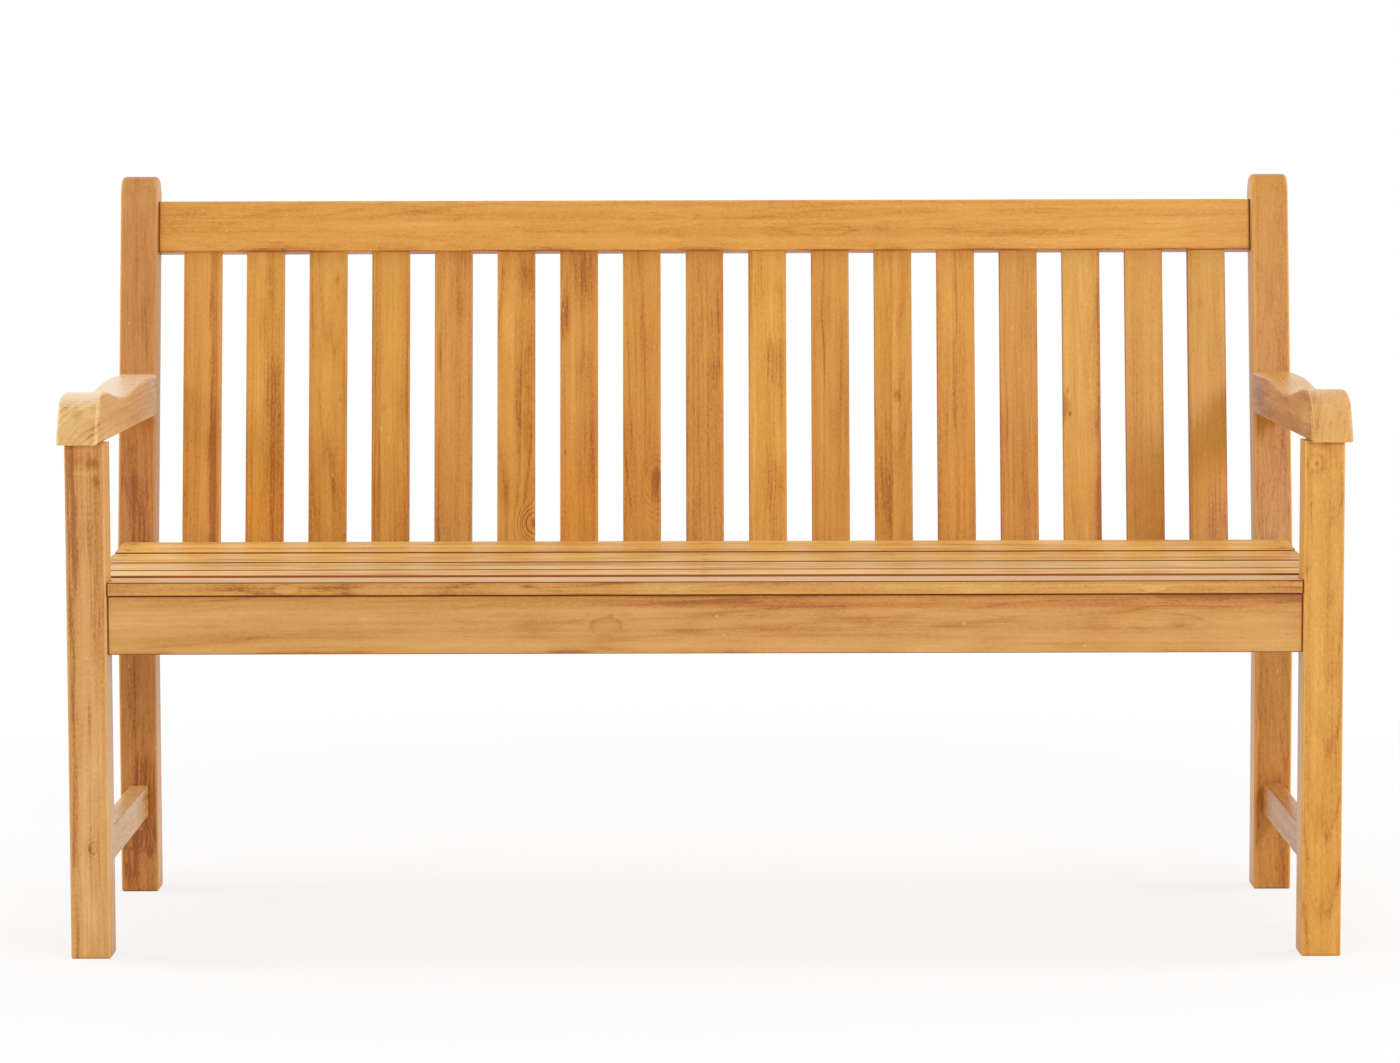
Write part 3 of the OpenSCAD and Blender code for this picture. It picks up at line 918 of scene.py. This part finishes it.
# The back slats, from left to right as seen from the front.
BACK_SLAT_TEAKS: tuple[Teak, ...] = (
    Teak(
        "#d89b52",
        Cut.QUARTER,
        (
            (0.0, 0.55), (0.3, 0.5), (0.6, 0.35), (0.68, 0.45),
            (0.72, 0.85), (0.88, 0.8), (0.96, 0.4),
        ),
        knots=(Knot(2, -120, 9, -0.25, 8), Knot(12, -40, 9, 0.3, 4)),
        fade=0.2,
        orange_foot_and_bounce=0.25,
    ),
    Teak(
        "#d69a4d",
        Cut.QUARTER,
        ((0.0, 0.5), (0.25, 0.3), (0.4, 0.25), (0.55, 0.5), (0.68, 0.7), (0.95, 0.7), (1.0, 0.45)),
        knots=(Knot(-6, 100, 12, 0.25, 4), Knot(10, 20, 12, 0.2, 5)),
        fade=0.32,
        orange_foot_and_bounce=0.65,
    ),
    Teak(
        "#d1964b",
        Cut.FLAT,
        ((0.0, 0.6), (0.2, 0.45), (0.5, 0.25), (0.8, 0.4), (0.95, 0.6)),
        ring_mm=7.0,
        lines=0.45,
        knots=(Knot(12, 153, 7, 0.6, 2, 1), Knot(16, -2, 2.5, 0.8), Knot(17, -125, 9, 0.4, 7)),
        fade=0.1,
        orange_foot_and_bounce=0.4,
    ),
    Teak(
        "#d1964a",
        Cut.RIFT,
        (
            (0.0, 0.75), (0.05, 0.4), (0.1, 0.7), (0.15, 0.4),
            (0.21, 0.6), (0.3, 0.4), (0.7, 0.35), (1.0, 0.6),
        ),
        knots=(Knot(-8, -12, 4, 0.5), Knot(-2, -55, 1.6, -0.9, 6), Knot(14, -58, 1.6, -0.9, 7)),
        fade=0.1,
        orange_foot_and_bounce=0.2,
    ),
    Teak(
        "#d09450",
        Cut.QUARTER,
        ((0.0, 0.7), (0.08, 0.5), (0.14, 0.7), (0.22, 0.5), (0.7, 0.5), (1.0, 0.6)),
        knots=(Knot(-17, 60, 5, 0.5, 10), Knot(-10, 90, 4, 0.4, 12), Knot(8, 120, 12, 0.25, 3)),
        fade=0.05,
    ),
    Teak(
        "#d2954a",
        Cut.CREST,
        ((0.0, 0.35), (0.35, 0.3), (0.6, 0.5), (0.85, 0.6), (1.0, 0.5)),
        ring_mm=9.0,
        lines=0.5,
        knots=(
            Knot(13, 152, 20, 0.4),
            Knot(0, 170, 40, 0.25, 1.0),
            Knot(-4, -20, 44, -0.2, 2.2),
            Knot(18, 60, 24, 0.26, 2.4),
            Knot(8, 0, 24, 0.18, 2.4),
            Knot(-4, -55, 24, 0.20, 2.4),
            Knot(-14, -115, 22, 0.26, 2.4),
            Knot(-10, 90, 14, -0.3, 5),
            Knot(12, -100, 14, -0.3, 4),
            Knot(18, -160, 26, 0.05, 1.3, 3),
        ),
        orange_foot_and_bounce=0.2,
    ),
    Teak(
        "#d2954d",
        Cut.RIFT,
        ((0.0, 0.5), (0.3, 0.4), (0.55, 0.5), (0.72, 0.45), (0.8, 0.6), (1.0, 0.55)),
        knots=(
            Knot(-17, 106, 13, 0.65, 4, 1),
            Knot(-20, 112, 2, -0.9),
            Knot(-17, -70, 2.5, 0.7, 3),
            Knot(-2, 165, 52, 0.5, 1.6),
            Knot(0, 0, 40, -0.15, 2.0),
        ),
        fade=0.08,
        orange_foot_and_bounce=0.6,
    ),
    Teak(
        "#d3924a",
        Cut.HEART,
        ((0.0, 0.6), (0.3, 0.5), (0.7, 0.5), (1.0, 0.45)),
        lines=0.4,
        knots=(
            Knot(15, -110, 38, 0.08, 1.8, -5),
            Knot(18, -112, 13, 0.5, 2.6, 1),
            Knot(19, -106, 4, 0.7, 4),
            Knot(-4, 10, 44, -0.15, 2.0),
        ),
        fade=0.1,
        orange_foot_and_bounce=0.1,
    ),
    Teak(
        "#d2944f",
        Cut.RIFT,
        ((0.0, 0.5), (0.4, 0.45), (1.0, 0.55)),
        knots=(Knot(10, 37, 22, 0.22, 1.2), Knot(-8, 100, 14, 0.15, 4)),
        fade=0.15,
    ),
    Teak(
        "#dca052",
        Cut.QUARTER,
        ((0.0, 0.65), (0.1, 0.5), (0.14, 0.1), (0.19, 0.5), (0.5, 0.35), (1.0, 0.5)),
        knots=(
            Knot(8, 45, 20, 0.14, 3, 0.8),
            Knot(4, -100, 18, 0.12, 4, 0.8),
            Knot(14, -60, 10, -0.2, 5),
        ),
        orange_foot_and_bounce=0.15,
        figure=1.3,
        sides=0.3,
    ),
    Teak(
        "#d1934a",
        Cut.CREST,
        ((0.0, 0.55), (0.27, 0.45), (0.32, 0.8), (0.37, 0.4), (0.6, 0.4), (1.0, 0.5)),
        ring_mm=8.0,
        knots=(Knot(14, -142, 3, 0.5, 0.3), Knot(-8, 60, 5, 0.4, 14), Knot(6, -40, 12, 0.25, 4)),
        fade=0.1,
        orange_foot_and_bounce=0.15,
        sides=0.3,
    ),
    Teak(
        "#d09549",
        Cut.FLAT,
        (
            (0.0, 0.5), (0.15, 0.6), (0.38, 0.7), (0.46, 0.75),
            (0.5, 0.2), (0.56, 0.35), (1.0, 0.35),
        ),
        knots=(
            Knot(5, 2, 8, 0.7, 2, 1),
            Knot(-10, -115, 32, 0.32, 2.6),
            Knot(-12, 120, 16, 0.2, 3),
        ),
        orange_foot_and_bounce=0.3,
        sides=0.3,
    ),
    Teak(
        "#d5974d",
        Cut.QUARTER,
        ((0.0, 0.7), (0.12, 0.5), (0.42, 0.4), (0.5, 0.65), (0.58, 0.4), (1.0, 0.4)),
        fade=0.24,
        orange_foot_and_bounce=0.35,
        sides=0.3,
    ),
    Teak(
        "#d09551",
        Cut.RIFT,
        ((0.0, 0.5), (0.5, 0.45), (1.0, 0.55)),
        knots=(Knot(0, 170, 44, 0.25, 1.4), Knot(0, 20, 44, -0.15, 2.0)),
        fade=0.3,
        orange_foot_and_bounce=0.4,
        figure=0.8,
        sides=0.3,
    ),
    Teak(
        "#d69e55",
        Cut.FLAT,
        ((0.0, 0.5), (0.2, 0.35), (0.7, 0.3), (0.88, 0.5), (0.93, 0.8), (1.0, 0.75)),
        knots=(
            Knot(-22, -12, 14, 0.8, 2.4, 2),
            Knot(-18, 8, 3, 0.9),
            Knot(-15, -22, 3, 0.9),
            Knot(-16, 0, 2, -0.9, 3),
        ),
        orange_foot_and_bounce=0.5,
        sides=0.4,
    ),
    Teak(
        "#d1974f",
        Cut.QUARTER,
        ((0.0, 0.5), (0.1, 0.35), (0.2, 0.5), (0.6, 0.4), (1.0, 0.5)),
        fade=0.05,
        orange_foot_and_bounce=0.5,
        figure=0.9,
        sides=0.4,
    ),
    Teak(
        "#d39b51",
        Cut.RIFT,
        ((0.0, 0.75), (0.07, 0.5), (0.3, 0.3), (0.6, 0.45), (1.0, 0.5)),
        # Its last knot, low on the slat, is painted shade.
        knots=(Knot(-8, 120, 8, 0.3), Knot(-6, 60, 10, -0.2, 6), Knot(8, -150, 36, 0.25, 1.6)),
        fade=0.25,
        orange_foot_and_bounce=0.6,
        sides=0.4,
    ),
)


@dataclass
class Backrest:
    """The leaning back: the top rail over seventeen upright slats."""

    slat_width: float = 48.0
    rail_width: float = 65.0
    first_seed: float = 60.0
    seed_step: float = 3.3
    rail_teak: Teak = Teak(
        "#d89c52",
        Cut.FLAT,
        # The last stop darkens its lower edge over the slats: painted shade.
        (
            (0.0, 0.6), (0.1, 0.4), (0.3, 0.55), (0.42, 0.4),
            (0.6, 0.5), (0.8, 0.35), (0.95, 0.5), (1.0, 0.9),
        ),
        lines=0.20,
        knots=(
            Knot(2, -380, 10, -0.25, 12),
            Knot(-10, 120, 7, 0.25, 16),
            Knot(12, 420, 9, 0.25, 14),
            Knot(-8, -60, 16, -0.15, 6, 1.2),
            Knot(6, 160, 14, 0.12, 7, 1.2),
            Knot(4, 600, 22, -0.25, 5, 1),
        ),
        figure=0.65,
        fade=0.12,
        # a dark joint line at each shoulder, partly painted shadow
        joint_mm=RAIL_SHOULDER_MM,
    )
    slat_teaks: tuple[Teak, ...] = BACK_SLAT_TEAKS

    def dress(self) -> None:
        """Dresses the rail and the slats, each in its own teak."""
        rail = Board("top_rail", Lie.TOP_RAIL, self.rail_width, seed=51.3)
        rail.dress(self.rail_teak)
        for i, teak in enumerate(self.slat_teaks):
            seed = self.first_seed + self.seed_step * i
            Board(f"back_slat_{i + 1:02d}", Lie.BACK_SLAT, self.slat_width, seed).dress(teak)


# The seat slats, from front to rear. Their left ends are painted pale: a painted highlight.
SEAT_SLAT_TEAKS: dict[str, Teak] = {
    "front": Teak(
        "#c99356",
        Cut.CREST,
        ring_mm=8.0,
        lines=0.5,
        knots=(
            Knot(43, -484, 11, -0.35, 3, 0.8, 1),
            Knot(43, -440, 7, 0.5, 6, 0, 3),
            Knot(43, -205, 4, 0.9, 5, 0, 4),
            Knot(43, -580, 8, 0.4, 9, 0, 2),
            Knot(43, 80, 8, 0.4, 12, 0, 3),
            Knot(43, 320, 7, -0.4, 12, 0, -3),
            Knot(43, 443, 3, 0.9, 1, 0, 3),
            Knot(43, 522, 10, -0.35, 3, 0.8, -2),
        ),
        figure=1.5,
        # Its top gets a painted sheen.
        top=0.5,
        # painted shadow along its rounded edges
        joint_and_gap_shade=UNDER_EDGE_SHADE,
    ),
    "second": Teak(
        "#eac08e",
        Cut.QUARTER,
        ring_mm=9.0,
        lines=0.5,
        # a pale left end: a painted highlight
        knots=(Knot(0, -690, 105, -0.5, 1),),
        figure=1.4,
        # a paler painted shade in its gaps
        joint_and_gap_shade="#a0581a",
    ),
    "middle": Teak(
        "#deb684",
        Cut.FLAT,
        ring_mm=9.0,
        lines=0.5,
        # a pale left end: a painted highlight
        knots=(Knot(0, -690, 105, -0.5, 1),),
        figure=1.3,
        joint_and_gap_shade=GAP_SHADE,
    ),
    "fourth": Teak(
        "#dfb06c",
        Cut.FLAT,
        ring_mm=9.0,
        lines=0.5,
        # a pale left end: a painted highlight
        knots=(Knot(0, -700, 90, -0.5, 1),),
        figure=1.3,
        joint_and_gap_shade=GAP_SHADE,
    ),
    "rear": Teak(
        "#ebbb72",
        Cut.QUARTER,
        ring_mm=9.0,
        lines=0.6,
        # a pale left end: a painted highlight
        knots=(Knot(0, -700, 60, -0.35, 1),),
        figure=1.4,
        joint_and_gap_shade=GAP_SHADE,
    ),
}


@dataclass
class Seat:
    """The dished seat: five slats over the apron, the rear rail and the bearer."""

    slat_width: float = 87.0
    apron_width: float = 69.0
    rear_rail_width: float = 78.0
    bearer_width: float = 45.0
    first_seed: float = 131.0
    seed_step: float = 4.1
    slat_streak_mm: Point = (9.0, 520.0, 5.0)
    slat_sheen: float = 0.5  # sat on, so duller than the rest
    slat_polish: float = 0.25
    under_teak: Teak = Teak("#c98f50", Cut.RIFT)
    # Where the seat slats' side faces get the painted shade of the gaps.
    gap_shade_stops: tuple[Stop, ...] = ((0.15, 0.0), (0.35, 1.0))
    # Where the front slat's rounded edges get painted shadow.
    front_shade_stops: tuple[Stop, ...] = ((0.15, 0.0), (0.3, 0.95), (0.95, 0.95), (0.985, 0.0))
    slat_teaks: dict[str, Teak] = field(default_factory=SEAT_SLAT_TEAKS.copy)
    apron_teak: Teak = Teak(
        "#cd975d",
        Cut.HEART,
        # Its first stops darken the top edge: painted shadow under the front slat.
        ((0.0, 0.85), (0.1, 0.65), (0.28, 0.42), (0.5, 0.5), (0.85, 0.4), (0.96, 0.5), (1.0, 0.8)),
        ring_mm=7.0,
        knots=(
            Knot(2, -160, 18, -0.2, 4),
            Knot(-6, -116, 28, 0.05, 1.4, -1.2),
            Knot(-10, -110, 4, 0.4, 2),
            Knot(8, 90, 20, 0.15, 3),
            Knot(0, 540, 34, 0.1, 2.4, -1.2),
            Knot(2, 553, 6, 0.4, 4),
            Knot(28, -420, 22, 0.15, 12),
        ),
        figure=1.25,
        fine=0.6,
        # Painted shadow under the front slat, along the apron's top.
        shade_stops=((0.25, 0.0), (0.45, 0.95)),
        joint_and_gap_shade=UNDER_EDGE_SHADE,
        ledge_mm=2.0,
        fade=-0.15,
        # a dark joint line at each shoulder, partly painted shadow
        joint_mm=RAIL_SHOULDER_MM,
    )

    def dress(self) -> None:
        """Dresses the slats and what carries them."""
        for i, (place, teak) in enumerate(self.slat_teaks.items()):
            seed = self.first_seed + self.seed_step * i
            board = Board(f"seat_slat_{place}", Lie.SEAT_SLAT, self.slat_width, seed)
            sheened = replace(
                teak,
                streak=replace(teak.streak, size_mm=self.slat_streak_mm),
                sheen=self.slat_sheen,
                polish=self.slat_polish,
                shade_stops=self.front_shade_stops if place == "front" else self.gap_shade_stops,
                edge_highlight=0.0,
            )
            board.dress(sheened)
        apron = Board("front_apron", Lie.UPRIGHT_RAIL, self.apron_width, seed=160.0)
        apron.dress(self.apron_teak)
        rail = Board("rear_seat_rail", Lie.UPRIGHT_RAIL, self.rear_rail_width, seed=171.0)
        rail.dress(self.under_teak)
        bearer = Board("centre_bearer", Lie.SIDE_RAIL, self.bearer_width, seed=183.0)
        bearer.dress(self.under_teak)


@dataclass(frozen=True)
class Steel:
    """Zinc-plated steel, turned: a cool grey sheen with fine rings from the lathe."""

    colour: str = "#b9bcbe"
    dull_colour: str = "#8f9396"
    turned_mm: float = 0.6  # drawn coarser than the real feed marks
    roughness: tuple[float, float] = (0.25, 0.5)

    def material(self, name: str) -> bpy.types.Material:
        """Makes the metal.

        Args:
            name: the material's name.

        Returns:
            The material.
        """
        finish = bare_material(name)
        tree = finish.node_tree
        here = add_node(tree, "ShaderNodeTexCoord", out="Object")
        marks = add_node(
            tree,
            "ShaderNodeTexNoise",
            {"Vector": here, "Scale": 1 / (self.turned_mm * MM), "Detail": 2},
        )
        low, high = ALL_FIGURE
        colour = add_node(
            tree,
            "ShaderNodeValToRGB",
            {0: marks},
            stops=((low, linear(self.colour)), (high, linear(self.dull_colour))),
        )
        smooth, dull = self.roughness
        rough = add_node(
            tree, "ShaderNodeMapRange", {"Value": marks, "To Min": smooth, "To Max": dull}
        )
        shader = add_node(
            tree,
            "ShaderNodeBsdfPrincipled",
            {"Base Color": colour, "Roughness": rough, "Metallic": 1.0},
        )
        add_node(tree, "ShaderNodeOutputMaterial", {"Surface": shader})
        return finish


@dataclass
class Fixings:
    """Bolts, washers and barrel nuts of steel; pegs and plugs of teak."""

    steel: Steel = Steel()
    steel_nodes: tuple[str, ...] = ("frame_bolts", "bolt_washers", "barrel_nuts", "seat_screws")
    peg_teak: Teak = Teak("#b97f45", Cut.RIFT)
    plug_teak: Teak = Teak("#c98f50", Cut.QUARTER)
    peg_width: float = 8.0
    plug_width: float = 10.0

    def dress(self) -> None:
        """Dresses every group of fixings."""
        metal = self.steel.material("zinc_plated_steel")
        for node in self.steel_nodes:
            give(node, metal)
        pegs = Board("joint_pegs", Lie.UPRIGHT_RAIL, self.peg_width, seed=201.0)
        pegs.dress(self.peg_teak)
        plugs = Board("seat_plugs", Lie.SEAT_SLAT, self.plug_width, seed=209.0)
        plugs.dress(self.plug_teak)


# ---- The studio -------------------------------------------------------------------


@dataclass(frozen=True)
class SoftBox:
    """A square soft box: where it hangs and its size, in metres, and its watts."""

    name: str
    place: Point
    size: float
    power: float

    def hang(self, aim: Vector) -> None:
        """Hangs the box.

        Args:
            aim: the point that it faces.
        """
        place = Vector(self.place)
        lamp = bpy.data.lights.new(self.name, "AREA")
        lamp.shape, lamp.size, lamp.energy = "SQUARE", self.size, self.power
        hung = bpy.data.objects.new(self.name, lamp)
        hung.location = place
        hung.rotation_euler = (place - aim).to_track_quat("Z", "Y").to_euler()
        hung.visible_camera = False
        bpy.context.scene.collection.objects.link(hung)
        LOG.info("hung %s", self.name)


@dataclass
class Studio:
    """A white floor and backdrop, soft boxes round the bench, a white room and the camera."""

    lens: float = 121.69  # in mm, as the sensor is
    sensor: float = 36.0
    sees_to: float = 200.0  # in metres, as all below is
    eye: Point = (0.00384, -5.77046, 0.98919)
    yaw: float = math.radians(0.098)
    pitch: float = math.radians(-5.0999)
    roll: float = math.radians(-0.15)
    floor_half: float = 40.0
    floor_grey: float = 0.9
    shadow_share: float = 0.24
    shadow_reach: tuple[float, float] = (0.9, 2.2)  # where it starts to fade and is gone
    room_light: float = 0.53
    boxes: tuple[SoftBox, ...] = (
        SoftBox("key_left", (-2.19, -3.27, 1.28), 0.5, 18),
        SoftBox("key_right", (1.65, -3.27, 1.27), 0.5, 34),
        SoftBox("side_left", (-3.5, 0.6, 1.4), 2.0, 56),
        SoftBox("side_right", (3.5, 0.6, 1.4), 2.0, 56),
        SoftBox("overhead", (0, -0.2, 4.0), 1.6, 27),
    )
    aim: Point = (0, 0, 0.5)

    def camera(self) -> None:
        """Sets up the camera, standing in front of the bench."""
        turn = Matrix.Rotation(self.yaw, 3, "Z") @ Matrix.Rotation(self.pitch, 3, "X")
        right, ahead, up = (turn.col[i].copy() for i in range(3))
        across = math.cos(self.roll) * right + math.sin(self.roll) * up
        above = math.cos(self.roll) * up - math.sin(self.roll) * right
        lens = bpy.data.cameras.new("camera")
        lens.lens, lens.sensor_width, lens.clip_end = self.lens, self.sensor, self.sees_to
        camera = bpy.data.objects.new("camera", lens)
        camera.matrix_world = (
            Matrix.Translation(self.eye)
            @ Matrix((across, above, -ahead)).transposed().to_4x4()
        )
        bpy.context.scene.collection.objects.link(camera)
        bpy.context.scene.camera = camera
        LOG.info("set up the camera")

    def floor(self) -> None:
        """Lays the white floor, which keeps a faint shadow of the bench."""
        bpy.ops.object.select_all(action="DESELECT")
        bpy.ops.mesh.primitive_plane_add(size=2 * self.floor_half, location=(0, 0, 0))
        floor = bpy.context.object
        floor.name = "floor"
        paint = bare_material("white_studio_floor")
        tree = paint.node_tree
        grey = self.floor_grey
        matt = add_node(tree, "ShaderNodeBsdfDiffuse", {"Color": (grey, grey, grey, 1)})
        white = add_node(tree, "ShaderNodeEmission", {"Color": WHITE, "Strength": 1.0})
        here = add_node(tree, "ShaderNodeTexCoord", out="Object")
        away = add_node(
            tree, "ShaderNodeVectorMath", {0: here}, out="Value", operation="LENGTH"
        )
        near, far = self.shadow_reach
        share = add_node(
            tree,
            "ShaderNodeMapRange",
            {
                "Value": away,
                "From Min": near,
                "From Max": far,
                "To Min": 1 - self.shadow_share,
                "To Max": 1.0,
            },
            interpolation_type="SMOOTHSTEP",
        )
        shown = add_node(tree, "ShaderNodeMixShader", {0: share, 1: matt, 2: white})
        seen = add_node(tree, "ShaderNodeLightPath", out="Is Camera Ray")
        both = add_node(tree, "ShaderNodeMixShader", {0: seen, 1: matt, 2: shown})
        add_node(tree, "ShaderNodeOutputMaterial", {"Surface": both})
        floor.data.materials.append(paint)
        LOG.info("laid the floor")

    def room(self) -> None:
        """Lights the bench evenly from a white room, which is also the backdrop."""
        world = bpy.data.worlds.new("white_room")
        bpy.context.scene.world = world
        world.use_nodes = True
        tree = world.node_tree
        tree.nodes.clear()
        path = add_node(tree, "ShaderNodeLightPath", out="Is Camera Ray")
        shiny = path.node.outputs["Is Glossy Ray"]
        clear = add_node(tree, "ShaderNodeMath", {0: path, 1: shiny}, operation="MAXIMUM")
        strength = add_node(
            tree, "ShaderNodeMapRange", {"Value": clear, "To Min": self.room_light}
        )
        sky = add_node(tree, "ShaderNodeBackground", {"Color": WHITE, "Strength": strength})
        add_node(tree, "ShaderNodeOutputWorld", {"Surface": sky})
        LOG.info("lit the room")

    def build(self) -> None:
        """Sets up everything round the bench."""
        self.camera()
        self.floor()
        self.room()
        for box in self.boxes:
            box.hang(Vector(self.aim))
        bpy.context.scene.view_settings.view_transform = "Standard"


def main() -> None:
    """Builds the studio and dresses the bench."""
    logging.basicConfig(level=logging.INFO, format="%(name)s: %(message)s")
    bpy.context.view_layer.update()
    Studio().build()
    for part in (EndFrames(), Backrest(), Seat(), Fixings()):
        part.dress()
        LOG.info("finished %s", type(part).__name__)


if __name__ == "__main__":
    main()
